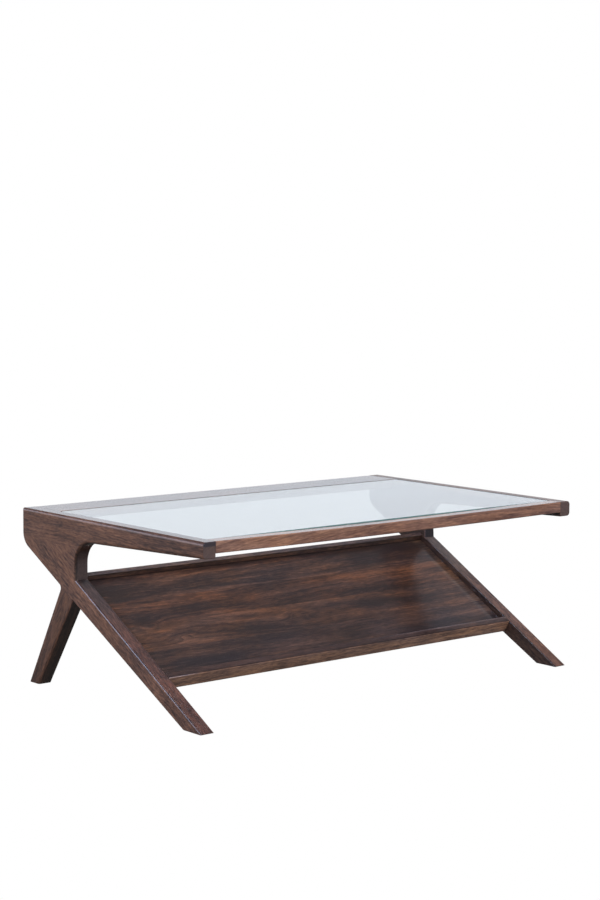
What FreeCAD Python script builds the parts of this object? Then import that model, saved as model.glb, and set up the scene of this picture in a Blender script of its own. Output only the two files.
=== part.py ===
import FreeCAD, Part
import math
import os

# Coffee table: two K-shaped side frames, front and back rails, a drop-in glass
# pane and a sloping shelf between the diagonal legs.
# Millimetres. X = length (left is -X), Y = depth (front is -Y), Z = up.
# Origin: centre of the footprint, on the floor.

os.makedirs("parts", exist_ok=True)
V = FreeCAD.Vector

# ---------------------------------------------------------------- dimensions
LENGTH = 1150.0            # overall, X
DEPTH = 700.0              # overall, Y
HEIGHT = 417.0             # overall, Z
STOCK = 35.0               # thickness of the side frames
XO = LENGTH / 2            # outer face of a side frame
XI = XO - STOCK            # inner face of a side frame
YF = -DEPTH / 2            # front end face
YB = DEPTH / 2             # back face

FOOT_Z = 1.0               # underside of the wood; the glides stand 1 mm proud

# edges of the side frame, each as y = y0 + k * z
LEG_UP = (-351.6, 1.765)       # upper edge of the diagonal leg
LEG_LO = (-280.7, 1.8956)      # lower edge of the diagonal leg
BACK_LO = (-270.2, 1.8443)     # lower edge of the diagonal behind the rear leg
REAR_F = (285.3, -0.6546)      # front edge of the rear leg
REAR_B = (324.2, -0.5458)      # rear edge of the rear leg
ARM_Z0, ARM_K = 366.6, -0.0395  # underside of the arm, z = ARM_Z0 + ARM_K * y
THROAT_Y = 128.0               # upright wall of the throat
THROAT_R = 55.0                # curve between the arm and the throat wall
BACK_R = 40.0                  # rounded lower back corner
CROTCH_R = 9.0                 # small curve between rear leg and diagonal

# arris radii
R_ARM_BACK, R_ARM_FRONT = 6.0, 8.5
R_THROAT = 7.0
R_CURVE = 4.0
R_LEG = 4.0
R_REAR = 7.0
R_INNER = 3.0
R_TOP_INNER = 0.8
R_END = 2.0
R_FOOT = 1.4

# rails
FR_D = 35.0                # front rail depth, Y
FR_H = 26.5                # front rail height
FR_BOW = 2.65              # how far the front rail's middle hangs lower
BR_D = 105.0               # back rail depth, Y
BR_H = 27.0                # back rail height

# glass
GLASS_T = 6.0
GLASS_TOP = 416.5
GLASS_GAP = 1.0            # between the pane's edge and the wood
GLASS_CORNER = 8.0
GLASS_ARRIS = 0.8
PAD_T = 1.0
PAD_D = 10.0
LEDGE_W = 12.0
LEDGE_H = 10.0
GLASS_BOT = GLASS_TOP - GLASS_T
LEDGE_TOP = GLASS_BOT - PAD_T

# shelf, in its own slope axes: s runs up the slope, n is square to it
KU = LEG_UP[1]
NORM = math.hypot(KU, 1.0)
SU = V(0, KU / NORM, 1.0 / NORM)           # up the slope
SN = V(0, -1.0 / NORM, KU / NORM)          # square to the slope, upwards
N_LEG = -LEG_UP[0] / NORM                  # upper face of the diagonal legs
SHELF_DROP = 16.0                          # shelf face below the legs' upper face
SHELF_T = 16.0
LIP_W = 20.0
LIP_PROUD = 1.5                            # the lip hangs this far below the boards
TOPRAIL_W = 14.0
S_LIP = -115.5                             # front face of the lip rail
S_TOPRAIL = 255.7                          # front face of the top rail
BOARDS = 4
N_FACE = N_LEG - SHELF_DROP
N_UNDER = N_FACE - SHELF_T

CLEAT_W = 18.0
CLEAT_H = 10.0

DOWEL_D = 8.0


# ------------------------------------------------------------------- helpers
def sl(x, s, n):
    """Point given in the shelf's slope axes."""
    return V(x, 0, 0) + SU * s + SN * n


def meet(a, b):
    """Where the lines y = a0 + a1 z and y = b0 + b1 z cross, as (y, z)."""
    z = (b[0] - a[0]) / (a[1] - b[1])
    return (a[0] + a[1] * z, z)


def at_z(line, z):
    return (line[0] + line[1] * z, z)


def corner(p, a, b, r):
    """Tangent points and middle of an arc of radius r in the corner a-p-b."""
    def unit(q):
        d = (q[0] - p[0], q[1] - p[1])
        m = math.hypot(*d)
        return (d[0] / m, d[1] / m)
    ua, ub = unit(a), unit(b)
    half = math.acos(max(-1, min(1, ua[0] * ub[0] + ua[1] * ub[1]))) / 2
    t = r / math.tan(half)
    bis = (ua[0] + ub[0], ua[1] + ub[1])
    m = math.hypot(*bis)
    bis = (bis[0] / m, bis[1] / m)
    c = (p[0] + bis[0] * r / math.sin(half), p[1] + bis[1] * r / math.sin(half))
    return ((p[0] + ua[0] * t, p[1] + ua[1] * t),
            (c[0] - bis[0] * r, c[1] - bis[1] * r),
            (p[0] + ub[0] * t, p[1] + ub[1] * t))


def wire_yz(items, x):
    """items: list of ('p', (y, z)) points and ('a', start, middle, end) arcs."""
    edges, first, last = [], None, None
    for it in items:
        if it[0] == 'p':
            q = V(x, *it[1])
            if last is not None:
                edges.append(Part.LineSegment(last, q).toShape())
            else:
                first = q
            last = q
        else:
            a, m, b = (V(x, *k) for k in it[1:])
            if last is not None:
                edges.append(Part.LineSegment(last, a).toShape())
            else:
                first = a
            edges.append(Part.Arc(a, m, b).toShape())
            last = b
    edges.append(Part.LineSegment(last, first).toShape())
    return Part.Wire(edges)


def prism_yz(points, x0, x1):
    w = Part.makePolygon([V(x0, *p) for p in points] + [V(x0, *points[0])])
    return Part.Face(w).extrude(V(x1 - x0, 0, 0))


DOC = FreeCAD.newDocument("work")


def fillet(shape, specs):
    """Round edges; specs is a list of (edge number from 1, r start, r end)."""
    base = DOC.addObject("Part::Feature", "base")
    base.Shape = shape
    f = DOC.addObject("Part::Fillet", "round")
    f.Base = base
    f.Edges = specs
    DOC.recompute()
    out = f.Shape.copy()
    DOC.removeObject(f.Name)
    DOC.removeObject(base.Name)
    if out.isNull() or not out.isValid() or not out.Solids:
        raise RuntimeError("rounding failed")
    return out.Solids[0]


def edge_specs(shape, rule):
    """rule(edge, start, end, mid) gives None or a radius or (r start, r end)."""
    specs = []
    for i, e in enumerate(shape.Edges, 1):
        if e.Length < 1e-6:
            continue
        a = e.valueAt(e.FirstParameter)
        b = e.valueAt(e.LastParameter)
        m = e.valueAt((e.FirstParameter + e.LastParameter) / 2)
        r = rule(e, a, b, m)
        if r is None:
            continue
        if not isinstance(r, tuple):
            r = (r, r)
        specs.append((i, r[0], r[1]))
    return specs


def mirror_x(shape):
    return shape.mirror(V(0, 0, 0), V(1, 0, 0))


def box(x0, x1, y0, y1, z0, z1):
    return Part.makeBox(x1 - x0, y1 - y0, z1 - z0, V(x0, y0, z0))


def slope_box(x0, x1, s0, s1, n0, n1):
    pts = [sl(x0, s0, n0), sl(x0, s1, n0), sl(x0, s1, n1), sl(x0, s0, n1)]
    return Part.Face(Part.makePolygon(pts + [pts[0]])).extrude(V(x1 - x0, 0, 0))


def dowel(p, d, dia, length, relief=0.8):
    """Chamfered dowel centred on p along d, and the bore that it sits in."""
    d = V(d).normalize()
    a = p - d * (length / 2)
    r = dia / 2
    c = 0.8
    body = Part.makeCylinder(r, length - 2 * c, a + d * c, d)
    body = body.fuse(Part.makeCone(r - c, r, c, a, d))
    body = body.fuse(Part.makeCone(r, r - c, c, a + d * (length - c), d)).removeSplitter()
    bore = Part.makeCylinder(r, length + 2 * relief, a - d * relief, d)
    return body.Solids[0], bore


def screw(p, d, dia, length):
    """Countersunk screw, head face centred on p, pointing along d."""
    d = V(d).normalize()
    rh, rs = dia, dia / 2
    hh = rh - rs
    pt = dia * 1.1
    prof = [V(0, 0, 0), V(rh - 0.2, 0, 0), V(rh, 0, 0.25), V(rs, 0, 0.25 + hh),
            V(rs, 0, length - pt), V(0, 0, length)]
    f = Part.Face(Part.makePolygon(prof + [prof[0]]))
    s = f.revolve(V(0, 0, 0), V(0, 0, 1), 360)
    # cross recess in the head
    arm = dia * 0.95
    w = dia * 0.22
    dep = dia * 0.45
    cross = box(-arm / 2, arm / 2, -w / 2, w / 2, -0.1, dep).fuse(
        box(-w / 2, w / 2, -arm / 2, arm / 2, -0.1, dep))
    hole = Part.Face(Part.makePolygon(prof + [prof[0]])).revolve(V(0, 0, 0), V(0, 0, 1), 360)
    s = s.cut(cross)
    rot = FreeCAD.Rotation(V(0, 0, 1), d)
    pl = FreeCAD.Placement(p, rot)
    out = []
    for q in (s, hole):
        q = q.copy()
        q.Placement = pl
        out.append(q.Solids[0])
    return out[0], out[1]


def cut_all(shape, tools):
    bb = shape.BoundBox
    use = [t for t in tools if t.BoundBox.intersect(bb)]
    if not use:
        return shape
    out = shape.cut(Part.makeCompound(use))
    sols = sorted(out.Solids, key=lambda q: -q.Volume)
    return sols[0]


NODES = {}


def put(name, shape):
    sols = shape if isinstance(shape, list) else [shape]
    for q in sols:
        if not q.isValid() or q.Volume <= 0:
            raise RuntimeError(name + " is not a valid solid")
    NODES[name] = sols


# --------------------------------------------------------------- side frame
cross = meet(LEG_LO, REAR_F)                 # front of the rear leg's joint
crotch = meet(BACK_LO, REAR_B)               # back of the rear leg's joint
back_corner = (YB, (YB - BACK_LO[0]) / BACK_LO[1])
leg_throat = (THROAT_Y, (THROAT_Y - LEG_UP[0]) / LEG_UP[1])

arc_back = corner(back_corner, (YB, HEIGHT), crotch, BACK_R)
arc_crotch = corner(crotch, back_corner, at_z(REAR_B, FOOT_Z), CROTCH_R)
throat_p = (THROAT_Y, ARM_Z0 + ARM_K * THROAT_Y)
arc_throat = corner(throat_p, leg_throat, (YF, ARM_Z0 + ARM_K * YF), THROAT_R)

outline = [
    ('p', (YF, HEIGHT)),
    ('p', (YB, HEIGHT)),
    ('a',) + arc_back,
    ('a',) + arc_crotch,
    ('p', at_z(REAR_B, FOOT_Z)),
    ('p', at_z(REAR_F, FOOT_Z)),
    ('p', cross),
    ('p', at_z(LEG_LO, FOOT_Z)),
    ('p', at_z(LEG_UP, FOOT_Z)),
    ('p', leg_throat),
    ('a',) + arc_throat,
    ('p', (YF, ARM_Z0 + ARM_K * YF)),
]
side = Part.Face(wire_yz(outline, -XO)).extrude(V(STOCK, 0, 0)).Solids[0]


def near(a, b, tol=0.6):
    return abs(a - b) < tol


def on_line(line, p):
    return near(p.y, line[0] + line[1] * p.z, 1.0)


def side_rule(e, a, b, m):
    outer = near(a.x, -XO) and near(b.x, -XO)
    inner = near(a.x, -XI) and near(b.x, -XI)
    if not (outer or inner):
        return None
    # along the top
    if near(m.z, HEIGHT):
        if inner:
            return R_TOP_INNER
        return (R_ARM_FRONT, R_ARM_BACK) if a.y < b.y else (R_ARM_BACK, R_ARM_FRONT)
    # front end face and feet are rounded afterwards
    if near(m.y, YF) or near(m.z, FOOT_Z):
        return None
    # back upright
    if near(m.y, YB):
        return R_INNER
    # underside of the arm
    if near(m.z, ARM_Z0 + ARM_K * m.y) and m.y < 70:
        if inner:
            return R_INNER
        return (R_ARM_FRONT, R_THROAT) if a.y < b.y else (R_THROAT, R_ARM_FRONT)
    if inner:
        return R_INNER
    if on_line(REAR_F, m):      # softer towards the foot
        return (R_REAR, R_LEG) if a.z < b.z else (R_LEG, R_REAR)
    if on_line(LEG_UP, m) or on_line(LEG_LO, m) or on_line(REAR_B, m):
        return R_LEG
    if m.y > 300:
        return R_INNER
    # the throat is softest in its curve and tightens down to the leg
    if near(m.y, THROAT_Y) and near(a.y, b.y):
        return (R_LEG, R_THROAT) if a.z < b.z else (R_THROAT, R_LEG)
    if m.y < THROAT_Y + 1 and m.z > leg_throat[1]:
        return R_THROAT
    return R_CURVE


print("side frame edges", len(side.Edges))
specs = edge_specs(side, side_rule)
side_ok = False
try:
    side_r = fillet(side, specs)
    side_ok = True
except Exception as err:
    print("whole-frame rounding failed:", err)
    side_r = side
print("side frame rounded:", side_ok, "volume", round(side_r.Volume))


def end_rule(e, a, b, m):
    # the loop around the front end face
    if near(a.y, YF, 0.05) and near(b.y, YF, 0.05) and near(m.y, YF, 0.05):
        return R_END
    return None


def foot_rule(e, a, b, m):
    if near(a.z, FOOT_Z, 0.02) and near(b.z, FOOT_Z, 0.02) and near(m.z, FOOT_Z, 0.02):
        return R_FOOT
    return None


def rear_foot_rule(e, a, b, m):
    return foot_rule(e, a, b, m) if m.y > 0 else None


for label, rule in (("end face", end_rule), ("rear foot", rear_foot_rule)):
    side_r = fillet(side_r, edge_specs(side_r, rule))

# toe and heel of the front foot, eased along their full width
toe, heel = at_z(LEG_UP, FOOT_Z), at_z(LEG_LO, FOOT_Z)
for tip, along, other, r in ((toe, heel, at_z(LEG_UP, 60.0), R_FOOT),
                             (heel, toe, at_z(LEG_LO, 60.0), 3.0)):
    ta, tm, tb = corner(tip, along, other, r)
    out = (tip[0] + (tip[0] - tm[0]) * 3, tip[1] + (tip[1] - tm[1]) * 3)
    wedge = Part.Face(wire_yz([('a', ta, tm, tb), ('p', out)], -XO - 2)).extrude(V(STOCK + 4, 0, 0))
    side_r = side_r.cut(wedge).Solids[0]

# the glued-up blank is divided along its glue lines into its three members
FAR = 2000.0
up_a = (LEG_UP[0] + LEG_UP[1] * -FAR, -FAR)
up_b = (LEG_UP[0] + LEG_UP[1] * FAR, FAR)
above = prism_yz([up_a, up_b, (-FAR * 2, FAR)], -XO - 5, -XI + 5)
# the rear leg's glue line runs from its front corner to the middle of the
# small curve behind, so that neither member ends in a feather edge
glue_end = arc_crotch[1]
low = [at_z(LEG_LO, -FAR), cross, glue_end]
out_dir = (glue_end[0] - cross[0], glue_end[1] - cross[1])
low.append((glue_end[0] + out_dir[0] * 0.4, glue_end[1] - abs(out_dir[1]) * 1.2))
below = prism_yz(low + [(FAR * 4, -FAR), (FAR * 4, -FAR * 2), (-FAR, -FAR * 2)], -XO - 5, -XI + 5)


def biggest(shape):
    return sorted(shape.Solids, key=lambda q: -q.Volume)[0]


# above the leg's upper line there is the arm; the front part of the leg's
# rounded edge stays with the leg
arm = biggest(side_r.common(above))
rest = biggest(side_r.cut(above))
rear = biggest(rest.common(below))
leg = biggest(rest.cut(below))
print("members", [round(q.Volume) for q in (arm, leg, rear)],
      "lost", round(side_r.Volume - arm.Volume - leg.Volume - rear.Volume, 2))

# ------------------------------------------------------------------- joinery
cutters = {"arm": [], "leg": [], "rear": [], "front": [], "back": [], "lip": [],
           "top": [], "cleat": [], "boards": []}
arm_dowels, tenons = [], []

# arm to diagonal leg, square to the glue line
for y in (160.0, 205.0, 250.0, 295.0):
    p = V(-(XO + XI) / 2, y, (y - LEG_UP[0]) / LEG_UP[1])
    d, bore = dowel(p, SN, 10.0, 50.0)
    arm_dowels.append(d)
    cutters["arm"].append(bore)
    cutters["leg"].append(bore)

# rear leg to diagonal leg: a loose tenon across the joint
j0, j1 = V(0, *cross), V(0, *glue_end)
jd = V(j1 - j0).normalize()
jn = V(0, -jd.z, jd.y)                        # up into the diagonal leg
jm = (j0 + j1) * 0.5
TEN_W, TEN_T, TEN_UP, TEN_DN = 36.0, 12.0, 20.0, 34.0


def tenon(x, w, t, up, dn, r):
    c = V(x, jm.y, jm.z)
    pts = [c - jd * (w / 2) - jn * dn, c + jd * (w / 2) - jn * dn,
           c + jd * (w / 2) + jn * up, c - jd * (w / 2) + jn * up]
    pts = [q - V(t / 2, 0, 0) for q in pts]
    s = Part.Face(Part.makePolygon(pts + [pts[0]])).extrude(V(t, 0, 0))
    along = [e for e in s.Edges if abs((e.valueAt(e.LastParameter) - e.valueAt(e.FirstParameter)).normalize().dot(jn)) > 0.99]
    return s.makeFillet(r, along).Solids[0]


mid = -(XO + XI) / 2
tenons.append(tenon(mid, TEN_W, TEN_T, TEN_UP, TEN_DN, TEN_T / 2 - 0.01))
mortise = tenon(mid, TEN_W, TEN_T, TEN_UP + 1, TEN_DN + 1, TEN_T / 2 - 0.01)
cutters["leg"].append(mortise)
cutters["rear"].append(mortise)

# rails to arms
rail_dowels = []
for y in (-341.0, -324.0):
    d, bore = dowel(V(-XI, y, HEIGHT - FR_H / 2), V(1, 0, 0), DOWEL_D, 40.0)
    rail_dowels.append(d)
    cutters["arm"].append(bore)
    cutters["front"].append(bore)
for y in (270.0, 297.5, 325.0):
    d, bore = dowel(V(-XI, y, HEIGHT - BR_H / 2), V(1, 0, 0), DOWEL_D, 40.0)
    rail_dowels.append(d)
    cutters["arm"].append(bore)
    cutters["back"].append(bore)

# shelf rails to diagonal legs
shelf_dowels = []
for s, key, dia in ((S_LIP + LIP_W / 2, "lip", 8.0), (S_TOPRAIL + TOPRAIL_W / 2, "top", 6.0)):
    for n in (150.0, 164.5):
        d, bore = dowel(sl(-XI, s, n), V(1, 0, 0), dia, 30.0)
        shelf_dowels.append(d)
        cutters["leg"].append(bore)
        cutters[key].append(bore)

# ---------------------------------------------------------------------- rails
zt, zb = HEIGHT, HEIGHT - FR_H


def bowed(y):
    top = Part.Arc(V(-XI, y, zt), V(0, y, zt - FR_BOW), V(XI, y, zt)).toShape()
    bot = Part.Arc(V(XI, y, zb), V(0, y, zb - FR_BOW), V(-XI, y, zb)).toShape()
    e1 = Part.LineSegment(V(XI, y, zt), V(XI, y, zb)).toShape()
    e2 = Part.LineSegment(V(-XI, y, zb), V(-XI, y, zt)).toShape()
    return Part.Wire([top, e1, bot, e2])


front_rail = Part.Face(bowed(YF)).extrude(V(0, FR_D, 0)).Solids[0]


def long_edges(e, a, b):
    return abs(a.x - b.x) > LENGTH * 0.5


def front_rule(e, a, b, m):
    if not long_edges(e, a, b):
        return None
    top = m.z > zt - 8
    front = near(m.y, YF)
    if front:
        return 2.5
    return R_TOP_INNER if top else 2.0


front_rail = fillet(front_rail, edge_specs(front_rail, front_rule))

back_rail = box(-XI, XI, YB - BR_D, YB, HEIGHT - BR_H, HEIGHT)


def back_rule(e, a, b, m):
    if not long_edges(e, a, b):
        return None
    if near(m.y, YB):
        return 3.0
    return R_TOP_INNER if near(m.z, HEIGHT) else 2.0


back_rail = fillet(back_rail, edge_specs(back_rail, back_rule))

# ---------------------------------------------------------------------- glass
gx = XI - GLASS_GAP
gy0 = YF + FR_D + GLASS_GAP
gy1 = YB - BR_D - GLASS_GAP
glass = box(-gx, gx, gy0, gy1, GLASS_BOT, GLASS_TOP)
glass = glass.makeFillet(GLASS_CORNER, [e for e in glass.Edges if abs(e.Length - GLASS_T) < 0.01])
glass = glass.makeChamfer(GLASS_ARRIS, [e for e in glass.Edges if abs(e.BoundBox.ZLength) < 0.01]).Solids[0]

# ------------------------------------------------------- ledges for the glass
ledge_z0 = LEDGE_TOP - LEDGE_H
ly0, ly1 = YF + FR_D, YB - BR_D
front_ledge = box(-XI, XI, ly0, ly0 + LEDGE_W, ledge_z0, LEDGE_TOP)
back_ledge = box(-XI, XI, ly1 - LEDGE_W, ly1, ledge_z0, LEDGE_TOP)
left_ledge = box(-XI, -XI + LEDGE_W, ly0 + LEDGE_W, ly1 - LEDGE_W, ledge_z0, LEDGE_TOP)


def ledge(shape, rule):
    return fillet(shape, edge_specs(shape, rule))


front_ledge = ledge(front_ledge, lambda e, a, b, m: 1.5 if long_edges(e, a, b) and m.y > ly0 + 6 else None)
back_ledge = ledge(back_ledge, lambda e, a, b, m: 1.5 if long_edges(e, a, b) and m.y < ly1 - 6 else None)
left_ledge = ledge(left_ledge, lambda e, a, b, m: 1.5 if abs(a.y - b.y) > 300 and m.x > -XI + 6 else None)

pads = []


def pad(x, y):
    c = Part.makeCylinder(PAD_D / 2, PAD_T * 0.6, V(x, y, LEDGE_TOP))
    return c.fuse(Part.makeCone(PAD_D / 2, PAD_D / 2 - 0.6, PAD_T * 0.4, V(x, y, LEDGE_TOP + PAD_T * 0.6))).removeSplitter().Solids[0]


for x in (-480.0, 0.0, 480.0):
    pads.append(pad(x, ly0 + LEDGE_W / 2 + 0.5))
    pads.append(pad(x, ly1 - LEDGE_W / 2 - 0.5))
for y in (-210.0, 140.0):
    for sx in (-1, 1):
        pads.append(pad(sx * (XI - LEDGE_W / 2 - 0.5), y))

ledge_screws, ledge_holes = [], []
zs = ledge_z0 + LEDGE_H / 2
for x in (-450.0, -150.0, 150.0, 450.0):
    for p, d in ((V(x, ly0 + LEDGE_W, zs), V(0, -1, 0)), (V(x, ly1 - LEDGE_W, zs), V(0, 1, 0))):
        s, h = screw(p, d, 3.0, 25.0)
        ledge_screws.append(s)
        ledge_holes.append(h)
for y in (-240.0, -35.0, 170.0):
    for sx in (-1, 1):
        s, h = screw(V(sx * (XI - LEDGE_W), y, zs), V(sx, 0, 0), 3.0, 25.0)
        ledge_screws.append(s)
        ledge_holes.append(h)

# ---------------------------------------------------------------------- shelf
lip = slope_box(-XI, XI, S_LIP, S_LIP + LIP_W, N_UNDER - LIP_PROUD, N_LEG)
toprail = slope_box(-XI, XI, S_TOPRAIL, S_TOPRAIL + TOPRAIL_W, N_UNDER, N_LEG)


def slope_rule(s_front, r_front, r_back, r_low):
    def rule(e, a, b, m):
        if not long_edges(e, a, b):
            return None
        s, n = m.dot(SU), m.dot(SN)
        if n > N_FACE + 5:
            return r_front if near(s, s_front) else r_back
        return r_low
    return rule


lip = fillet(lip, edge_specs(lip, slope_rule(S_LIP, 3.0, 3.0, 1.2)))
toprail = fillet(toprail, edge_specs(toprail, slope_rule(S_TOPRAIL, 2.0, 2.5, 2.0)))

s0, s1 = S_LIP + LIP_W, S_TOPRAIL
bw = (s1 - s0) / BOARDS
boards = [slope_box(-XI, XI, s0 + bw * i, s0 + bw * (i + 1), N_UNDER, N_FACE) for i in range(BOARDS)]

cl_s0, cl_s1 = -60.0, 250.0
cleat = slope_box(-XI, -XI + CLEAT_W, cl_s0, cl_s1, N_UNDER - CLEAT_H, N_UNDER)
cleat = fillet(cleat, edge_specs(cleat, lambda e, a, b, m: 2.0 if near(m.dot(SN), N_UNDER - CLEAT_H) and m.x > -XI + 9 and abs(a.y - b.y) > 100 else None))

cleat_screws, cleat_holes = [], []
nm = N_UNDER - CLEAT_H / 2
for s in (-40.0, 40.0, 120.0, 200.0):
    q, h = screw(sl(-XI + CLEAT_W, s, nm), V(-1, 0, 0), 3.5, 32.0)
    cleat_screws.append(q)
    cleat_holes.append(h)
for i in range(BOARDS):
    s = max(cl_s0 + 12, s0 + bw * (i + 0.5)) + 6
    q, h = screw(sl(-XI + 7.5, s, N_UNDER - CLEAT_H), SN, 3.5, 20.0)
    cleat_screws.append(q)
    cleat_holes.append(h)

# -------------------------------------------------------------------- glides
glides = []
for y in ((at_z(LEG_UP, FOOT_Z)[0] + at_z(LEG_LO, FOOT_Z)[0]) / 2 + 2.0,
          (at_z(REAR_F, FOOT_Z)[0] + at_z(REAR_B, FOOT_Z)[0]) / 2):
    prof = [V(0, 0, 0), V(10.2, 0, 0), V(11.0, 0, 0.8), V(11.0, 0, 3.0), V(1.1, 0, 3.0),
            V(1.1, 0, 14.0), V(0, 0, 17.0)]
    g = Part.Face(Part.makePolygon(prof + [prof[0]])).revolve(V(0, 0, 0), V(0, 0, 1), 360)
    g.Placement = FreeCAD.Placement(V(mid, y, 0), FreeCAD.Rotation())
    glides.append(g.Solids[0])

# --------------------------------------------------------------- cut and save
bores = {k: v for k, v in cutters.items()}
wood_holes = ledge_holes + cleat_holes
wood_holes_m = wood_holes + [mirror_x(h) for h in cleat_holes]

arm = cut_all(arm, bores["arm"] + wood_holes)
leg = cut_all(leg, bores["leg"] + wood_holes + glides)
rear = cut_all(rear, bores["rear"] + glides)

both = lambda items: items + [mirror_x(q).Solids[0] for q in items]

put("left_arm", arm)
put("right_arm", mirror_x(arm).Solids[0])
put("left_diagonal_leg", leg)
put("right_diagonal_leg", mirror_x(leg).Solids[0])
put("left_rear_leg", rear)
put("right_rear_leg", mirror_x(rear).Solids[0])
put("front_rail", cut_all(front_rail, both(bores["front"]) + wood_holes))
put("back_rail", cut_all(back_rail, both(bores["back"]) + wood_holes))
put("glass_top", glass)
put("front_glass_ledge", cut_all(front_ledge, ledge_holes))
put("back_glass_ledge", cut_all(back_ledge, ledge_holes))
put("left_glass_ledge", cut_all(left_ledge, ledge_holes))
put("right_glass_ledge", mirror_x(cut_all(left_ledge, ledge_holes)).Solids[0])
put("glass_pads", pads)
for i, b in enumerate(boards, 1):
    put("shelf_board_%d" % i, cut_all(b, wood_holes_m))
put("shelf_lip_rail", cut_all(lip, both(bores["lip"])))
put("shelf_top_rail", cut_all(toprail, both(bores["top"])))
cleat_c = cut_all(cleat, cleat_holes)
put("left_shelf_cleat", cleat_c)
put("right_shelf_cleat", mirror_x(cleat_c).Solids[0])
put("rail_dowels", both(rail_dowels))
put("arm_dowels", both(arm_dowels))
put("rear_leg_tenons", both(tenons))
put("shelf_dowels", both(shelf_dowels))
put("ledge_screws", ledge_screws)
put("cleat_screws", both(cleat_screws))
put("foot_glides", both(glides))

for name, sols in NODES.items():
    shape = sols[0] if len(sols) == 1 else Part.makeCompound(sols)
    shape.exportStep("parts/%s.step" % name)

bb = Part.makeCompound([q for v in NODES.values() for q in v]).BoundBox
print("nodes", len(NODES), "solids", sum(len(v) for v in NODES.values()))
print("box", round(bb.XMin, 2), round(bb.XMax, 2), round(bb.YMin, 2), round(bb.YMax, 2), round(bb.ZMin, 2), round(bb.ZMax, 2))
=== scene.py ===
import bpy
import bmesh
import math
from mathutils import Vector, Matrix


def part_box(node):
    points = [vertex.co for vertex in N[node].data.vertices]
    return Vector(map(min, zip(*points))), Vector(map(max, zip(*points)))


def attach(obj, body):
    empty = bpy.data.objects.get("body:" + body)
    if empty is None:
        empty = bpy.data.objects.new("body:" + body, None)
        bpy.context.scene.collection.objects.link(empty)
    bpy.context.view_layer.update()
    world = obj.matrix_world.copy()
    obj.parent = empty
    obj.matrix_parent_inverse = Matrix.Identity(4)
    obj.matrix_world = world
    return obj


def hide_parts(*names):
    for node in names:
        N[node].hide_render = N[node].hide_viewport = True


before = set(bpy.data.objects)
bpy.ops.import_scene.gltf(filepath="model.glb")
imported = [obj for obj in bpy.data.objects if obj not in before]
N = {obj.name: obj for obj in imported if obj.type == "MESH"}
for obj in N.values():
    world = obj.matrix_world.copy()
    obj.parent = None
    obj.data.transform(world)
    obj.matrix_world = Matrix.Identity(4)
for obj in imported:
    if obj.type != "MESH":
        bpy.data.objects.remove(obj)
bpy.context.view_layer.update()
scene = bpy.context.scene
scene.view_settings.view_transform = "Standard"
scene.view_settings.look = "None"
scene.view_settings.exposure = 0.0
scene.view_settings.gamma = 1.0

# ------------------------------------------------------------------ camera
az, el, roll = math.radians(-40.4958), math.radians(-5.9284), math.radians(0.5082)
fwd = Vector((-math.sin(az) * math.cos(el), math.cos(az) * math.cos(el), math.sin(el)))
right = Vector((math.cos(az), math.sin(az), 0.0))
up = right.cross(fwd)
cx = right * math.cos(roll) + up * math.sin(roll)
cy = up * math.cos(roll) - right * math.sin(roll)
cz = -fwd
cam_data = bpy.data.cameras.new("camera")
cam = bpy.data.objects.new("camera", cam_data)
scene.collection.objects.link(cam)
m = Matrix((cx, cy, cz)).transposed().to_4x4()
m.translation = Vector((-3.1084, -3.6293, 1.0454))
cam.matrix_world = m
cam_data.sensor_fit = "VERTICAL"
cam_data.sensor_height = 36.0
cam_data.lens = 1982.9859 / 900.0 * 36.0
cam_data.clip_end = 100.0
scene.camera = cam

# ---------------------------------------------------------------- node helper


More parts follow.
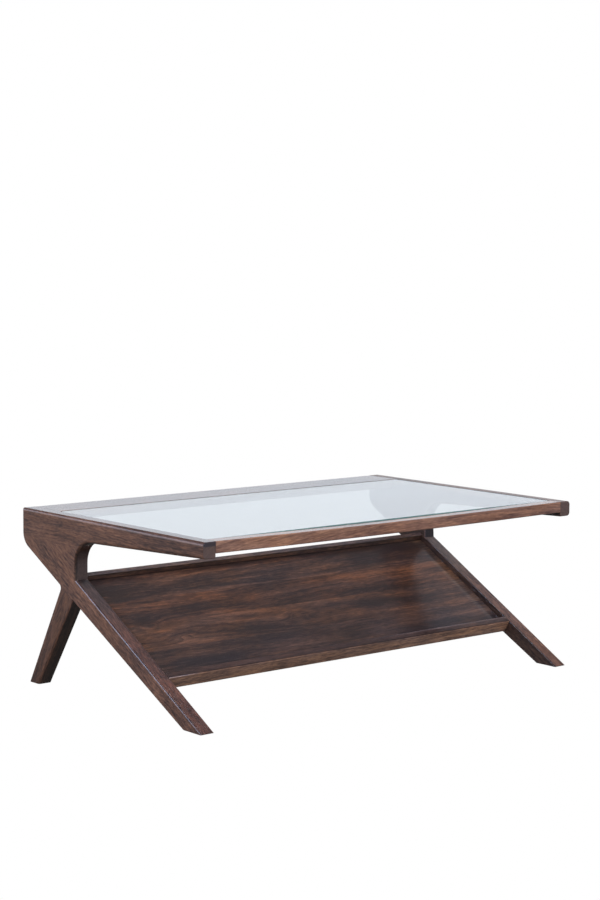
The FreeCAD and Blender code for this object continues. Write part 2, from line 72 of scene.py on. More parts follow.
class Tree:
    def __init__(self, name):
        self.mat = bpy.data.materials.new(name)
        self.mat.use_nodes = True
        self.t = self.mat.node_tree
        self.t.nodes.clear()
        self.out = self.add("ShaderNodeOutputMaterial")
        self.bsdf = self.add("ShaderNodeBsdfPrincipled")
        self.t.links.new(self.bsdf.outputs[0], self.out.inputs[0])

    def add(self, kind, **kw):
        n = self.t.nodes.new(kind)
        for k, v in kw.items():
            setattr(n, k, v)
        return n

    def link(self, a, b):
        self.t.links.new(a, b)

    def put(self, socket, value):
        if isinstance(value, bpy.types.NodeSocket):
            self.t.links.new(value, socket)
        else:
            socket.default_value = value

    def math(self, op, a, b=0.0, c=0.0, clamp=False):
        n = self.add("ShaderNodeMath", operation=op, use_clamp=clamp)
        self.put(n.inputs[0], a)
        self.put(n.inputs[1], b)
        if op in ("MULTIPLY_ADD", "SMOOTH_MIN", "SMOOTH_MAX"):
            self.put(n.inputs[2], c)
        return n.outputs[0]

    def vmath(self, op, a, b=(0, 0, 0)):
        n = self.add("ShaderNodeVectorMath", operation=op)
        self.put(n.inputs[0], a)
        self.put(n.inputs[1], b)
        return n.outputs[1] if op in ("DOT_PRODUCT", "LENGTH", "DISTANCE") else n.outputs[0]

    def noise(self, vec, scale, detail=2.0, rough=0.5, dist=0.0, dims="3D"):
        n = self.add("ShaderNodeTexNoise", noise_dimensions=dims)
        self.put(n.inputs["Vector"], vec)
        n.inputs["Scale"].default_value = scale
        n.inputs["Detail"].default_value = detail
        n.inputs["Roughness"].default_value = rough
        n.inputs["Distortion"].default_value = dist
        return n.outputs[0]

    def ramp(self, fac, stops, mode="RGB"):
        n = self.add("ShaderNodeValToRGB")
        self.put(n.inputs[0], fac)
        e = n.color_ramp.elements
        while len(e) < len(stops):
            e.new(0.5)
        for i, (p, c) in enumerate(stops):
            e[i].position = p
            e[i].color = (c, c, c, 1) if isinstance(c, (int, float)) else (*c, 1)
        return n.outputs[0]

    def remap(self, v, a, b, c=0.0, d=1.0, smooth=False):
        n = self.add("ShaderNodeMapRange")
        if smooth:
            n.interpolation_type = "SMOOTHSTEP"
        self.put(n.inputs[0], v)
        for i, x in enumerate((a, b, c, d)):
            n.inputs[i + 1].default_value = x
        return n.outputs[0]

    def mix(self, fac, a, b, blend="MIX"):
        n = self.add("ShaderNodeMix", data_type="RGBA", blend_type=blend)
        self.put(n.inputs[0], fac)
        self.put(n.inputs[6], a if isinstance(a, bpy.types.NodeSocket) else (*a, 1))
        self.put(n.inputs[7], b if isinstance(b, bpy.types.NodeSocket) else (*b, 1))
        return n.outputs[2]


def lin(r, g, b):
    return tuple((c / 255 / 12.92) if c / 255 <= 0.04045 else ((c / 255 + 0.055) / 1.055) ** 2.4 for c in (r, g, b))


KU = 1.765
NM = math.hypot(KU, 1.0)
SLOPE = Vector((0, KU / NM, 1 / NM))
SNORM = Vector((0, -1 / NM, KU / NM))


def basis(grain, face):
    """Rotation that takes row axes to local axes: x along the grain, z out of the face."""
    x = Vector(grain).normalized()
    z = Vector(face)
    z = (z - x * z.dot(x)).normalized()
    y = z.cross(x)
    return Matrix((x, y, z))


def wood(name, pal, grain, face, seed, heart=(0.03, -0.09), tilt=0.03, turn=None, tone=0.5,
         contrast=1.0, cloud=1.0, weights=(0.8, 0.9, 1.1, 0.9, 0.7, 0.5), ring=0.006, warp=0.012,
         knots=(), blobs=(), hue=0.6, faces=(), end=(0.78, 1.02, 1.32), coat=1.0, coat_rough=0.14,
         rough=0.5, pore=0.55, bump=0.22, strength=1.0, along=1.0, lines=0.22):
    """Stained and lacquered timber. Rings about a heart that lies off the board, wavy bands
    that follow them, short flecks and specks, stain clouds, fibres and open pores run along the
    piece's own grain. turn=(grain, seed, z_low, z_high, weights, tone) gives the lower part of a
    piece another grain direction; knots push the rings about; blobs are patches where the stain
    took more or less. faces multiply the colour where a face looks a given way, and where given
    within spans of X, Y or Z: painted shade, painted highlights and painted reflection tints on
    chosen faces and arrises, and other tones set face by face."""
    T = Tree(name)
    tc = T.add("ShaderNodeTexCoord")
    obj = tc.outputs["Object"]
    geo = T.add("ShaderNodeNewGeometry")
    end_d = T.vmath("DOT_PRODUCT", geo.outputs["Normal"], tuple(Vector(grain).normalized()))
    endf = T.remap(T.math("ABSOLUTE", end_d), 0.72, 0.95, 0.0, 1.0, smooth=True)

    def frame_of(g):
        mp = T.add("ShaderNodeMapping")
        T.link(obj, mp.inputs["Vector"])
        mp.inputs["Rotation"].default_value = basis(g, face).to_euler("XYZ")
        return mp.outputs[0]

    def layers(c0, sd, w1, w2_, w3, w4, w5, w6):
        sp = T.add("ShaderNodeSeparateXYZ")
        T.link(c0, sp.inputs[0])
        u, v, w = sp.outputs
        c = T.vmath("ADD", c0, (sd * 0.731 % 3.1, sd * 0.37 % 1.7, sd * 0.53 % 1.3))
        nA = T.add("ShaderNodeTexNoise")
        T.put(nA.inputs["Vector"], T.vmath("MULTIPLY", c, (1.9, 7.0, 7.0)))
        nA.inputs["Scale"].default_value = 1.0
        nA.inputs["Detail"].default_value = 2.0
        nB = T.add("ShaderNodeTexNoise")
        T.put(nB.inputs["Vector"], T.vmath("MULTIPLY", c, (13.0, 34.0, 34.0)))
        nB.inputs["Scale"].default_value = 1.0
        nB.inputs["Detail"].default_value = 2.0
        sa = T.add("ShaderNodeSeparateXYZ")
        T.link(T.vmath("SUBTRACT", nA.outputs["Color"], (0.5, 0.5, 0.5)), sa.inputs[0])
        sb = T.add("ShaderNodeSeparateXYZ")
        T.link(T.vmath("SUBTRACT", nB.outputs["Color"], (0.5, 0.5, 0.5)), sb.inputs[0])
        v2 = T.math("MULTIPLY_ADD", sa.outputs[0], warp * 3.2, v)
        v2 = T.math("MULTIPLY_ADD", sb.outputs[0], warp * 0.55, v2)
        w2 = T.math("MULTIPLY_ADD", sa.outputs[1], warp * 3.2, w)
        w2 = T.math("MULTIPLY_ADD", sb.outputs[1], warp * 0.55, w2)
        for (ku, kv, amp, ru, rv) in knots:
            du = T.math("MULTIPLY", T.math("SUBTRACT", u, ku), 1.0 / ru)
            dv = T.math("MULTIPLY", T.math("SUBTRACT", v2, kv), 1.0 / rv)
            d2 = T.math("MULTIPLY_ADD", du, du, T.math("MULTIPLY", dv, dv))
            w2 = T.math("MULTIPLY_ADD", T.math("EXPONENT", T.math("MULTIPLY", d2, -1.0)), amp, w2)
        dv = T.math("SUBTRACT", v2, heart[0])
        dw = T.math("SUBTRACT", T.math("MULTIPLY_ADD", u, -tilt, w2), heart[1])
        rr = T.math("SQRT", T.math("MULTIPLY_ADD", dv, dv, T.math("MULTIPLY", dw, dw)))

        def band(k, a, det):
            cb = T.add("ShaderNodeCombineXYZ")
            T.put(cb.inputs[0], T.math("MULTIPLY", rr, k))
            T.put(cb.inputs[1], T.math("MULTIPLY", u, a * along))
            T.put(cb.inputs[2], T.math("MULTIPLY_ADD", dv, a * 1.5, sd + k))
            return T.noise(cb.outputs[0], 1.0, det, 0.55)

        n1 = band(40.0, 1.7, 2.0)
        n2 = band(130.0, 6.0, 2.0)
        n3 = band(430.0, 22.0, 3.0)
        n4 = T.noise(T.vmath("MULTIPLY", c, (75.0 * along, 400.0, 400.0)), 1.0, 2.0, 0.5)
        blot = T.noise(T.vmath("MULTIPLY", c, (5.0 * along, 14.0, 14.0)), 1.0, 3.0, 0.6, 0.6)
        hv = T.noise(T.vmath("MULTIPLY", c, (7.0, 24.0, 24.0)), 1.0, 2.0, 0.5)
        ringf = T.math("FRACT", T.math("MULTIPLY_ADD", n1, 1.6, T.math("MULTIPLY", rr, 1.0 / ring)))
        f = T.math("MULTIPLY", T.math("SUBTRACT", n1, 0.5), w1)
        f = T.math("MULTIPLY_ADD", T.math("SUBTRACT", n2, 0.5), w2_, f)
        f = T.math("MULTIPLY_ADD", T.math("SUBTRACT", n3, 0.5), w3, f)
        f = T.math("MULTIPLY_ADD", T.math("SUBTRACT", n4, 0.5), w4, f)
        f = T.math("MULTIPLY_ADD", T.math("SUBTRACT", blot, 0.5), w5, f)
        speck = T.noise(T.vmath("MULTIPLY", c, (55.0, 180.0, 180.0)), 1.0, 2.0, 0.6, 0.3)
        f = T.math("MULTIPLY_ADD", T.math("SUBTRACT", speck, 0.5), w6, f)
        f = T.math("MULTIPLY_ADD", T.math("SUBTRACT", ringf, 0.5), -0.14, f)
        bu = T.math("MULTIPLY_ADD", sa.outputs[2], 0.03, u)
        bv = T.math("MULTIPLY_ADD", sb.outputs[2], 0.028, v2)
        for (ku, kv, ru, rv, amp) in blobs:
            du = T.math("MULTIPLY", T.math("SUBTRACT", bu, ku), 1.0 / ru)
            dv = T.math("MULTIPLY", T.math("SUBTRACT", bv, kv), 1.0 / rv)
            d2 = T.math("MULTIPLY_ADD", du, du, T.math("MULTIPLY", dv, dv))
            f = T.math("MULTIPLY_ADD", T.math("EXPONENT", T.math("MULTIPLY", d2, -1.0)), amp, f)
        fib = T.noise(T.vmath("MULTIPLY", c, (38.0, 850.0, 850.0)), 1.0, 2.0, 0.6)
        por = T.noise(T.vmath("MULTIPLY", c, (95.0, 1900.0, 1900.0)), 1.0, 1.0, 0.5)
        return f, ringf, fib, por, hv

    c0 = frame_of(grain)
    out = layers(c0, seed, *weights)
    if turn is not None:
        sz = T.add("ShaderNodeSeparateXYZ")
        T.link(obj, sz.inputs[0])
        wob = T.noise(obj, 38.0, 2.0, 0.5)
        zz = T.math("MULTIPLY_ADD", T.math("SUBTRACT", wob, 0.5), 0.022, sz.outputs[2])
        tf = T.remap(zz, turn[2], turn[3], 1.0, 0.0, smooth=True)
        g = layers(frame_of(turn[0]), turn[1], *turn[4])
        g = (T.math("ADD", g[0], turn[5]),) + g[1:]
        out = [T.math("MULTIPLY_ADD", tf, T.math("SUBTRACT", q, p), p) for p, q in zip(out, g)]
    f, ringf, fib, por, hv = out
    # slow cloud shared by neighbouring pieces, in the object's own frame
    cl = T.noise(obj, 7.0, 2.0, 0.5)
    f = T.math("MULTIPLY_ADD", T.math("SUBTRACT", cl, 0.5), 0.45 * cloud, f)
    f = T.math("MULTIPLY", f, T.math("MULTIPLY_ADD", endf, -0.72, 1.0))
    f = T.math("MULTIPLY_ADD", f, contrast, tone)
    col = T.ramp(f, [(0.0, pal[0]), (0.30, pal[1]), (0.62, pal[2]), (1.0, pal[3])])
    # the stain runs from plum to orange
    hh = T.mix(T.remap(hv, 0.30, 0.70), (1.0 - 0.13 * hue, 1.0 - 0.03 * hue, 1.0 + 0.17 * hue),
               (1.0 + 0.10 * hue, 1.0 + 0.01 * hue, 1.0 - 0.14 * hue))
    col = T.mix(strength, col, hh, "MULTIPLY")
    line = T.remap(ringf, 0.84, 0.99, 0.0, lines, smooth=True)
    col = T.mix(line, col, tuple(x * 0.7 for x in pal[0]))
    col = T.mix(T.remap(fib, 0.36, 0.68, 0.0, 0.30), col, tuple(x * 0.75 for x in pal[0]))
    pores = T.remap(por, 0.60, 0.69, 0.0, 1.0, smooth=True)
    col = T.mix(T.math("MULTIPLY", pores, pore), col, tuple(x * 0.4 for x in pal[0]))
    # end grain drinks the stain evenly
    col = T.mix(endf, col, end, "MULTIPLY")
    # painted light by face: where the normal looks along d, and within any given span of X, Y or Z, the colour is
    # multiplied by mult; this paints the shade, highlights and reflection tints listed with each piece
    for item in faces:
        d, lo, hi, mult = item[:4]
        fac = T.remap(T.vmath("DOT_PRODUCT", geo.outputs["Normal"], tuple(Vector(d).normalized())),
                      lo, hi, 0.0, 1.0, smooth=True)
        for axis, p0, p1 in item[4:]:
            so = T.add("ShaderNodeSeparateXYZ")
            T.link(obj, so.inputs[0])
            fac = T.math("MULTIPLY", fac, T.remap(so.outputs["XYZ".index(axis)], p0, p1, 0.0, 1.0, smooth=True))
        col = T.mix(fac, col, mult, "MULTIPLY")
    T.link(col, T.bsdf.inputs["Base Color"])
    b = T.bsdf.inputs
    T.link(T.remap(fib, 0.3, 0.7, rough - 0.06, rough + 0.08), b["Roughness"])
    b["IOR"].default_value = 1.45
    b["Specular IOR Level"].default_value = 0.25
    b["Coat Weight"].default_value = coat
    b["Coat Roughness"].default_value = coat_rough
    b["Coat IOR"].default_value = 1.5
    h = T.math("MULTIPLY_ADD", pores, -0.8, T.math("MULTIPLY", fib, 0.4))
    wavy = T.noise(T.vmath("MULTIPLY", c0, (0.3, 1.0, 1.0)), 40.0, 2.0, 0.5)
    h = T.math("MULTIPLY_ADD", wavy, 0.9, h)
    bp = T.add("ShaderNodeBump")
    bp.inputs["Strength"].default_value = bump
    bp.inputs["Distance"].default_value = 0.0004
    T.link(h, bp.inputs["Height"])
    T.link(bp.outputs[0], b["Normal"])
    bp2 = T.add("ShaderNodeBump")
    bp2.inputs["Strength"].default_value = bump * 0.25
    bp2.inputs["Distance"].default_value = 0.0004
    T.link(h, bp2.inputs["Height"])
    T.link(bp2.outputs[0], b["Coat Normal"])
    return T.mat


def paint(node, mat):
    o = N[node]
    o.data.materials.clear()
    o.data.materials.append(mat)


def tones(gain, *cols):
    return tuple(tuple(x * g for x, g in zip(lin(*c), gain)) for c in cols)


def grey(k, r=1.0, g=1.0, b=1.0):
    return (k * r, k * g, k * b)


WALNUT = ((57, 44, 43), (84, 64, 59), (109, 82, 72), (136, 103, 88))
SHELF = ((38, 31, 34), (57, 45, 45), (79, 62, 57), (110, 85, 74))
RAILC = ((78, 53, 48), (113, 81, 71), (141, 103, 87), (172, 128, 104))

Y, Z, X = (0, 1, 0), (0, 0, 1), (1, 0, 0)
NX = (-1, 0, 0)
NY = (0, -1, 0)
REARDIR = Vector((0, -0.6, 1.0)).normalized()
ONE = (1, 1, 1)
RED = (1.10, 0.99, 0.89)

# each side frame is glued up from matched timber, so the grain runs on over its joints
SIDE = dict(heart=(0.36, -0.07), tone=0.495, hue=0.35, weights=(0.7, 0.9, 1.1, 1.0, 0.8, 0.6),
            turn=(SLOPE, 2.7, 0.326, 0.366, (0.4, 0.6, 1.1, 1.5, 1.1, 1.1), 0.055))
side_l = wood("left_side_wood", tones(RED, *WALNUT), Y, NX, 1.3, **SIDE,
              # painted shade: the throat walls, behind Y 0.05, darkened
              faces=((NY, 0.6, 0.9, grey(0.60, 0.98, 1, 1.03), ("Y", 0.0, 0.05)),
                     # painted dark reflection: a dark blue band along the top of the arm's end face
                     (NY, 0.6, 0.9, (0.42, 0.50, 0.66), ("Z", 0.4055, 0.4085)),
                     # painted shade on the throat's inner vertical arris and on its arch top
                     ((-0.7, -0.7, 0), 0.74, 0.95, grey(0.3), ("Y", 0.0, 0.05)),
                     ((0, -0.45, -0.9), 0.5, 0.95, grey(0.4), ("Y", 0.0, 0.05)),
                     # painted shade and a cool tint on the leg's outer arris, where the lamp highlight runs, so it
                     # reads lavender
                     ((-0.7, -0.35, 0.62), 0.88, 0.98, (0.55, 0.66, 0.90)),
                     # painted shade with a purple reflection tint on the leg's upper face, darker and bluer towards
                     # its top, and a painted shadow where it meets the throat
                     (SNORM, 0.72, 0.94, (0.68, 0.57, 0.65)),
                     (SNORM, 0.9, 0.99, (0.60, 0.84, 1.04), ("Z", 0.15, 0.24)),
                     (SNORM, 0.9, 0.99, grey(0.4), ("Y", 0.085, 0.127)),
                     # the outer face made cooler towards the bottom, and lighter in a band between Z 0.17 and 0.30
                     (NX, 0.9, 0.99, (0.96, 1.0, 1.10), ("Z", 0.27, 0.16)),
                     (NX, 0.9, 0.99, grey(1.11), ("Z", 0.30, 0.25), ("Z", 0.17, 0.22))))
side_r = wood("right_side_wood", tones(RED, *WALNUT), Y, NX, 5.9, **SIDE, coat=0.45,
              # painted shade with a cool tint on the throat walls
              faces=((NY, 0.6, 0.9, grey(0.34, 0.82, 1, 1.3), ("Y", 0.0, 0.05)),
                     # painted highlight, pale and bluish, on the throat's inner vertical arris
                     ((-0.7, -0.7, 0), 0.9, 0.98, grey(2.2, 0.85, 1, 1.3), ("Y", 0.0, 0.05)),
                     # painted shade on the faces that look inward, towards -X, such as the leg's inner face above the
                     # shelf
                     (NX, 0.6, 0.95, grey(0.32, 0.92, 1.05, 1.25)),
                     # painted cool tint on the leg's inner arris, where the lamp highlight runs, and a painted dark
                     # line beside it
                     ((-0.7, -0.35, 0.62), 0.88, 0.98, (0.62, 0.80, 1.15)),
                     ((-0.43, -0.444, 0.783), 0.96, 0.995, (0.50, 0.50, 0.58)),
                     # the upper faces made a little bluer; painted shade with a cool tint towards the top of the leg's
                     # upper face
                     (SNORM, 0.9, 0.99, (1.0, 1.04, 1.16)),
                     (SNORM, 0.9, 0.99, (0.58, 0.77, 0.92), ("Z", 0.15, 0.23))))
paint("left_arm", side_l)
paint("left_diagonal_leg", side_l)
paint("right_arm", side_r)
paint("right_diagonal_leg", side_r)
# painted shade: the rear legs' faces that look down and forward darkened, as in the shadow of the shelf and the
# diagonal leg
REAR_PAINTED_SHADE = (((0, -0.85, -0.52), 0.75, 0.98, grey(0.6)),)
paint("left_rear_leg", wood("left_rear_leg_wood", tones(RED, *WALNUT), REARDIR, NX, 3.9, tone=0.34, faces=REAR_PAINTED_SHADE))
paint("right_rear_leg", wood("right_rear_leg_wood", tones(RED, *WALNUT), REARDIR, NX, 4.4, tone=0.34, faces=REAR_PAINTED_SHADE))
paint("front_rail", wood("front_rail_wood", tones(ONE, *RAILC), X, NY, 6.2, tone=0.58,
                         heart=(0.335, 0.315), tilt=0.13, ring=0.007, warp=0.005, cloud=0.4, contrast=0.9,
                         along=0.7, weights=(0.9, 1.3, 1.4, 1.0, 0.7, 0.5),
                         # the front face a little darker towards the left end and a little lighter towards the right
                         faces=((NY, 0.6, 0.9, (0.96, 0.97, 0.97), ("X", 0.0, -0.30)),
                                (NY, 0.6, 0.9, (1.06, 1.05, 1.02), ("X", 0.10, 0.30)))))
paint("back_rail", wood("back_rail_wood", tones(RED, *WALNUT), X, Z, 8.8, tone=0.4, heart=(0.3, -0.09)))

# patches of the shelf, along it and up its slope, in metres
PATCH = ((-0.480, 0.190, 0.030, 0.026, -0.42), (-0.470, 0.094, 0.030, 0.020, -0.42),
         (-0.400, 0.200, 0.060, 0.010, -0.25), (-0.330, -0.062, 0.110, 0.018, -0.30),
         (-0.492, -0.025, 0.030, 0.016, -0.25), (-0.320, 0.112, 0.110, 0.007, -0.25),
         (-0.020, 0.045, 0.040, 0.014, -0.22), (-0.215, 0.079, 0.120, 0.010, 0.42),
         (-0.080, 0.110, 0.090, 0.016, 0.28), (-0.240, 0.170, 0.140, 0.006, 0.28),
         (-0.410, 0.149, 0.060, 0.005, 0.25), (-0.470, 0.232, 0.040, 0.010, 0.35),
         (-0.440, 0.055, 0.030, 0.012, 0.26), (-0.350, 0.020, 0.100, 0.022, 0.20),
         (0.300, 0.197, 0.050, 0.018, -0.26), (0.150, 0.188, 0.080, 0.012, -0.16),
         (0.060, 0.083, 0.080, 0.012, 0.26), (0.330, 0.120, 0.120, 0.012, 0.18),
         (0.120, -0.020, 0.120, 0.012, -0.20), (0.150, 0.012, 0.100, 0.006, 0.22),
         (0.060, -0.052, 0.050, 0.012, -0.22), (-0.060, 0.215, 0.100, 0.012, -0.15),
         (0.400, 0.235, 0.150, 0.036, -0.50), (0.450, 0.100, 0.070, 0.030, 0.35),
         (0.480, -0.010, 0.060, 0.030, 0.25), (0.500, -0.060, 0.060, 0.020, 0.25))
KNOTS = ((-0.400, 0.025, 0.016, 0.040, 0.016), (-0.045, 0.045, 0.020, 0.040, 0.018),
         (0.268, 0.033, 0.012, 0.020, 0.010), (-0.480, 0.190, 0.020, 0.040, 0.022),
         (-0.470, 0.094, 0.020, 0.040, 0.020))
LO_V, BOARD = -0.0955, 0.0878
for i, (sd, tn, hv, gain, con) in enumerate(((1.7, 0.34, 0.20, (0.90, 0.74, 0.67), 1.0),
                                             (4.3, 0.42, 0.12, (0.99, 0.74, 0.57), 1.05),
                                             (6.6, 0.39, 0.02, (1.04, 0.71, 0.50), 1.25),
                                             (9.2, 0.38, -0.05, (0.97, 0.75, 0.61), 1.25)), 1):
    v0, v1 = LO_V + (i - 1) * BOARD - 0.03, LO_V + i * BOARD + 0.03
    paint("shelf_board_%d" % i,
          wood("shelf_board_%d_wood" % i, tones(gain, *SHELF), X, SNORM, sd, tone=tn, heart=(hv, 0.05),
               coat=0.55, coat_rough=0.19, cloud=1.0, hue=1.3, weights=(1.1, 0.8, 1.0, 0.8, 1.5, 0.8), warp=0.016,
               contrast=con, along=0.6, ring=0.013, lines=0.42,
               blobs=[p for p in PATCH if v0 < p[1] < v1], knots=[k for k in KNOTS if v0 < k[1] < v1],
               # painted reflection: a pale cool strip along the shelf's right edge, past X 0.500
               faces=((SNORM, 0.6, 0.95, (1.35, 1.7, 1.9), ("X", 0.500, 0.516)),)))
LIP_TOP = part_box("shelf_lip_rail")[1].z
paint("shelf_lip_rail", wood("lip_wood", tones(RED, *WALNUT), X, -SLOPE, 2.2, tone=0.42, coat=0.45,
                             # painted shade with a cool reflection tint on the lip's top face, darker still towards
                             # its front edge
                             faces=((SNORM, 0.6, 0.95, grey(0.42, 0.94, 0.98, 1.2)),
                                    (SNORM, 0.6, 0.95, grey(0.72), ("Z", LIP_TOP - 0.003, LIP_TOP - 0.008)),
                                    # painted highlight: a pale blue line along the back edge of the lip's top face,
                                    # right part
                                    (SNORM, 0.6, 0.95, (1.7, 2.2, 2.6), ("Z", LIP_TOP - 0.0024, LIP_TOP - 0.0014),
                                     ("X", 0.0, 0.30)),
                                    # painted light: the lip's front face, which looks down and forward, lightened
                                    # about twofold, a little more in green and blue
                                    (-SLOPE, 0.6, 0.95, grey(2.1, 1.0, 1.13, 1.10)),
                                    # painted highlights: on the lip's back-top arris over its right part, and on its
                                    # front-top arris at the left end
                                    ((0, 0.30, 0.954), 0.94, 0.985, (3.6, 4.6, 6.4), ("X", -0.15, 0.30)),
                                    ((0, -0.964, 0.267), 0.82, 0.97, (1.7, 2.3, 3.2), ("X", -0.44, -0.50)))))
paint("shelf_top_rail", wood("top_rail_wood", tones(ONE, *SHELF), X, -SLOPE, 3.3, tone=0.45,
                             # painted reflection: the rail's upper face lightened and cooled
                             faces=((SNORM, 0.6, 0.95, grey(1.35, 1.0, 1.04, 1.12)),
                                    # painted warm light on the face that looks down the shelf
                                    (-SLOPE, 0.6, 0.95, (1.25, 1.05, 0.85)),
                                    # painted shade: dark lines along that face's upper and lower edges
                                    (-SLOPE, 0.6, 0.95, grey(0.35), ("Z", 0.2735, 0.2750)),
                                    (-SLOPE, 0.6, 0.95, grey(0.30), ("Z", 0.2665, 0.2645)))))
for i, n in enumerate(("front_glass_ledge", "back_glass_ledge")):
    paint(n, wood(n + "_wood", tones(RED, *WALNUT), X, Z, 0.7 + i, tone=0.35, coat=0.2, coat_rough=0.35))
for i, n in enumerate(("left_glass_ledge", "right_glass_ledge")):
    paint(n, wood(n + "_wood", tones(RED, *WALNUT), Y, Z, 2.7 + i, tone=0.35, coat=0.2, coat_rough=0.35))
for i, n in enumerate(("left_shelf_cleat", "right_shelf_cleat")):
    paint(n, wood(n + "_wood", tones(RED, *WALNUT), SLOPE, SNORM, 4.7 + i, tone=0.35, coat=0.2, coat_rough=0.35))
BEECH = tones(ONE, (150, 112, 74), (178, 140, 98), (198, 160, 118), (214, 180, 138))
for n, g in (("rail_dowels", X), ("arm_dowels", SNORM), ("rear_leg_tenons", REARDIR), ("shelf_dowels", X)):
    paint(n, wood(n + "_wood", BEECH, g, Y if g is not Y else X, 0.9, tone=0.5,
                  contrast=0.6, hue=0.1, coat=0.0, rough=0.75, pore=0.2))


def plain(name, color, rough=0.5, metallic=0.0, grain=300.0, spread=0.12, bump=0.1, **kw):
    T = Tree(name)
    tc = T.add("ShaderNodeTexCoord")
    n1 = T.noise(tc.outputs["Object"], grain, 4.0, 0.6)
    n2 = T.noise(tc.outputs["Object"], grain * 6, 3.0, 0.6)
    col = T.mix(n1, tuple(v * (1 - spread) for v in color), tuple(min(1, v * (1 + spread)) for v in color))
    T.link(col, T.bsdf.inputs["Base Color"])
    T.link(T.remap(n2, 0.3, 0.7, max(0.02, rough - 0.08), rough + 0.1), T.bsdf.inputs["Roughness"])
    T.bsdf.inputs["Metallic"].default_value = metallic
    for k, v in kw.items():
        T.bsdf.inputs[k].default_value = v
    bp = T.add("ShaderNodeBump")
    bp.inputs["Strength"].default_value = bump
    bp.inputs["Distance"].default_value = 0.0001
    T.link(n2, bp.inputs["Height"])
    T.link(bp.outputs[0], T.bsdf.inputs["Normal"])
    return T.mat


screw = plain("screw_zinc", (0.62, 0.55, 0.36), rough=0.28, metallic=1.0, grain=900)
paint("ledge_screws", screw)
paint("cleat_screws", screw)
paint("foot_glides", plain("glide_nylon", (0.022, 0.016, 0.013), rough=0.5, grain=500))
pad = plain("pad_clear", (0.86, 0.88, 0.88), rough=0.12, grain=700, spread=0.03, bump=0.03, IOR=1.45)
pad.node_tree.nodes["Principled BSDF"].inputs["Transmission Weight"].default_value = 0.85
paint("glass_pads", pad)

# ------------------------------------------------------------------ glass
glass = Tree("pane_glass")
g = glass.bsdf.inputs
g["Base Color"].default_value = (0.958, 0.958, 0.946, 1)
g["Roughness"].default_value = 0.0
g["IOR"].default_value = 1.5
g["Transmission Weight"].default_value = 1.0
vol = glass.add("ShaderNodeVolumeAbsorption")
vol.inputs["Color"].default_value = (0.45, 0.86, 0.82, 1)
vol.inputs["Density"].default_value = 6.0
glass.link(vol.outputs[0], glass.out.inputs["Volume"])
edge = Tree("pane_edge")
g = edge.bsdf.inputs
n = edge.noise(edge.add("ShaderNodeTexCoord").outputs["Object"], 260.0, 3.0, 0.6)
edge.link(edge.mix(n, (0.10, 0.24, 0.25), (0.20, 0.38, 0.39)), g["Base Color"])
edge.link(edge.remap(n, 0.3, 0.7, 0.18, 0.3), g["Roughness"])
g["IOR"].default_value = 1.5
g["Transmission Weight"].default_value = 0.35
vol = edge.add("ShaderNodeVolumeAbsorption")
vol.inputs["Color"].default_value = (0.45, 0.86, 0.82, 1)
vol.inputs["Density"].default_value = 6.0
edge.link(vol.outputs[0], edge.out.inputs["Volume"])


def pane(name, node, corner=0.008, arris=0.0008, seg=8):
    """A glass pane: rounded corners, and a ground and polished round arris all round."""
    lo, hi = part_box(node)
    t = hi.z - lo.z
    me = bpy.data.meshes.new(name)
    bm = bmesh.new()
    prof = []
    k = 5
    for i in range(k + 1):          # bottom arris, from the flat round to the edge
        a = math.pi / 2 * i / k
        prof.append((arris * (1 - math.sin(a)), lo.z + arris * (1 - math.cos(a))))
    for i in range(k + 1):
        a = math.pi / 2 * i / k
        prof.append((arris * (1 - math.cos(a)), hi.z - arris * (1 - math.sin(a))))
    rings = []
    for inset, z in prof:
        ring = []
        for cxn, cyn, a0 in ((hi.x, hi.y, 0), (lo.x, hi.y, 90), (lo.x, lo.y, 180), (hi.x, lo.y, 270)):
            sx = 1 if cxn == hi.x else -1
            sy = 1 if cyn == hi.y else -1
            c = Vector((cxn - sx * corner, cyn - sy * corner))
            r = corner - inset
            for j in range(seg + 1):
                a = math.radians(a0 + 90 * j / seg)
                ring.append(bm.verts.new((c.x + r * math.cos(a), c.y + r * math.sin(a), z)))
        rings.append(ring)
    n = len(rings[0])
    for a, b in zip(rings, rings[1:]):
        for i in range(n):
            f = bm.faces.new((a[i], a[(i + 1) % n], b[(i + 1) % n], b[i]))
            f.smooth = True
            f.material_index = 1
    bm.faces.new(list(reversed(rings[0])))
    bm.faces.new(rings[-1])
    bm.normal_update()
    bm.to_mesh(me)
    bm.free()
    o = bpy.data.objects.new(name, me)
    scene.collection.objects.link(o)
    return o


p = pane("glass_pane", "glass_top")
p.data.materials.append(glass.mat)
p.data.materials.append(edge.mat)
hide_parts("glass_top")
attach(p, "glass")
p.visible_shadow = False
p.visible_diffuse = False

# ------------------------------------------------------------------- stage


def studio(t, seen, through, lit):
    """A surface or sky that is plain white where it is looked at, calmer behind the glass,
    and lights the object with its own levels."""
    lp = t.nodes.new("ShaderNodeLightPath")
    less = t.nodes.new("ShaderNodeMath")
    less.operation = "LESS_THAN"
    t.links.new(lp.outputs["Ray Depth"], less.inputs[0])
    less.inputs[1].default_value = 3.5
    both = t.nodes.new("ShaderNodeMath")
    both.operation = "MULTIPLY"
    t.links.new(less.outputs[0], both.inputs[0])
    t.links.new(lp.outputs["Is Transmission Ray"], both.inputs[1])
    m1 = t.nodes.new("ShaderNodeMixShader")
    t.links.new(both.outputs[0], m1.inputs[0])
    t.links.new(lit, m1.inputs[1])
    t.links.new(through, m1.inputs[2])
    m2 = t.nodes.new("ShaderNodeMixShader")
    t.links.new(lp.outputs["Is Camera Ray"], m2.inputs[0])
    t.links.new(m1.outputs[0], m2.inputs[1])
    t.links.new(seen, m2.inputs[2])
    return m2.outputs[0]


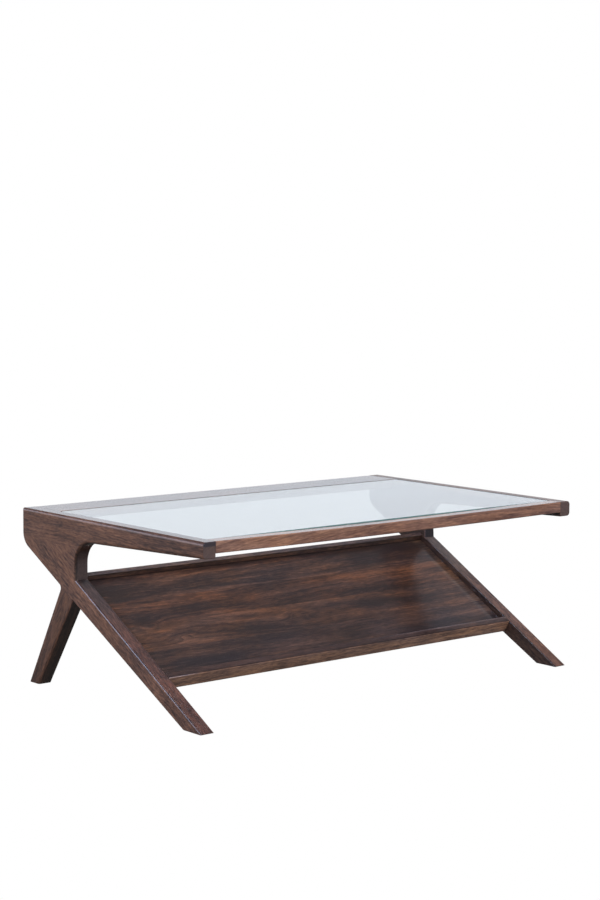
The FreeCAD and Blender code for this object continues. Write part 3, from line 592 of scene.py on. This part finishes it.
def glow(t, kind, color, strength):
    n = t.nodes.new(kind)
    if isinstance(color, bpy.types.NodeSocket):
        t.links.new(color, n.inputs[0])
    else:
        n.inputs[0].default_value = (*color, 1)
    if isinstance(strength, bpy.types.NodeSocket):
        t.links.new(strength, n.inputs[1])
    else:
        n.inputs[1].default_value = strength
    return n.outputs[0]


BEHIND = 0.53          # what lies behind the glass, against white paper at 1
floor_mat = bpy.data.materials.new("floor_white")
floor_mat.use_nodes = True
ft = floor_mat.node_tree
ft.nodes.clear()
fo = ft.nodes.new("ShaderNodeOutputMaterial")
E = "ShaderNodeEmission"
fc = ft.nodes.new("ShaderNodeTexCoord")
fl = ft.nodes.new("ShaderNodeVectorMath")
fl.operation = "LENGTH"
ft.links.new(fc.outputs["Object"], fl.inputs[0])
fr = ft.nodes.new("ShaderNodeMapRange")
fr.interpolation_type = "SMOOTHSTEP"
ft.links.new(fl.outputs["Value"], fr.inputs[0])
for i, x in enumerate((0.7, 1.65, 0.88, BEHIND)):
    fr.inputs[i + 1].default_value = x
ft.links.new(studio(ft, glow(ft, E, (1, 1, 1), 1.0), glow(ft, E, (0.96, 0.99, 1.0), fr.outputs[0]),
                    glow(ft, E, (1, 1, 1), 0.10)), fo.inputs[0])
bm = bmesh.new()
bmesh.ops.create_circle(bm, cap_ends=True, radius=1.7, segments=96)
fme = bpy.data.meshes.new("floor")
bm.to_mesh(fme)
bm.free()
floor = bpy.data.objects.new("floor", fme)
floor.location = (0, 0, -0.0005)
floor.data.materials.append(floor_mat)
scene.collection.objects.link(floor)

# world: pale low down behind the table, dim above that, softly lit overhead
world = bpy.data.worlds.new("studio")
scene.world = world
world.use_nodes = True
wt = world.node_tree
wt.nodes.clear()
wo = wt.nodes.new("ShaderNodeOutputWorld")
tc = wt.nodes.new("ShaderNodeTexCoord")
sp = wt.nodes.new("ShaderNodeSeparateXYZ")
wt.links.new(tc.outputs["Generated"], sp.inputs[0])
mr = wt.nodes.new("ShaderNodeMapRange")
wt.links.new(sp.outputs[2], mr.inputs[0])
mr.inputs[1].default_value = -1.0
mr.inputs[2].default_value = 1.0
cr = wt.nodes.new("ShaderNodeValToRGB")
wt.links.new(mr.outputs[0], cr.inputs[0])
stops = [(-1.0, 0.06), (-0.10, 0.12), (-0.02, 0.8), (0.03, 1.0), (0.17, 1.0), (0.25, 0.30), (0.36, 0.05), (1.0, 0.06)]
els = cr.color_ramp.elements
while len(els) < len(stops):
    els.new(0.5)
for e, (z, v) in zip(els, stops):
    e.position = (z + 1) / 2
    e.color = (v * 0.993, v * 1.053, v * 1.145, 1)
B = "ShaderNodeBackground"
wt.links.new(studio(wt, glow(wt, B, (1, 1, 1), 1.0), glow(wt, B, (0.92, 0.955, 0.95), BEHIND),
                    glow(wt, B, cr.outputs[0], 1.0)), wo.inputs[0])


def softbox(name, loc, target, sx, sy, radiance, color=(1, 1, 1), gloss=True, wash=True, clear=True):
    """A studio panel, given by how bright its face is. gloss: seen in the lacquer; wash: lights
    the timber itself; clear: seen through the pane."""
    d = bpy.data.lights.new(name, "AREA")
    d.shape = "RECTANGLE"
    d.size, d.size_y = sx, sy
    d.energy = radiance * math.pi * sx * sy
    d.color = color
    o = bpy.data.objects.new(name, d)
    o.location = loc
    q = (Vector(target) - Vector(loc)).to_track_quat("-Z", "Y")
    o.rotation_euler = q.to_euler()
    o.visible_camera = False
    o.visible_glossy = gloss
    o.visible_transmission = clear
    o.visible_diffuse = wash
    scene.collection.objects.link(o)
    return o


def far(name, toward, dist, sx, sy, radiance, color=(1, 1, 1), at=(-0.2, 0.0, 0.25), **kw):
    p = Vector(at) + Vector(toward).normalized() * dist
    return softbox(name, p, at, sx, sy, radiance, color, **kw)


# panels that wash the timber with light
far("wash_left", (-0.84, -0.34, 0.42), 4.0, 2.4, 2.0, 7.2, (1.0, 0.98, 0.96), gloss=False)
far("wash_front", (0.20, -0.90, 0.40), 4.0, 2.4, 2.0, 5.0, (1.0, 0.98, 0.96), gloss=False)
far("wash_top", (-0.10, -0.15, 1.0), 3.0, 2.2, 2.2, 3.1, (1.0, 0.98, 0.98), gloss=False)
# low fills for the sides that are turned away
far("wash_back", (0.20, 0.97, 0.10), 4.0, 2.4, 1.6, 5.0, (1.0, 0.98, 0.96), gloss=False, clear=False)
far("wash_right", (0.97, 0.12, 0.12), 4.0, 2.4, 1.6, 4.0, (1.0, 0.98, 0.96), gloss=False, clear=False)
# panels that the lacquer mirrors along the arrises
far("rim_leg", (-0.75, 0.40, 0.53), 4.0, 1.7, 1.7, 8.5, (0.62, 0.74, 1.06), wash=False)
far("rim_arm", (-0.54, 0.76, 0.35), 4.0, 1.4, 1.0, 2.0, (0.84, 0.84, 1.06), wash=False)
# panels mirrored in the shelf: a near one seen past the right arm, a far one all over
softbox("shelf_right", (1.335, 0.251, 0.980), (0.643, 0.034, 0.292), 0.56, 0.245, 0.45, (0.94, 0.96, 1.06), wash=False)
far("shelf_sheen", (0.64, 0.235, 0.73), 4.0, 2.6, 2.0, 0.27, (0.92, 0.96, 1.08), wash=False)
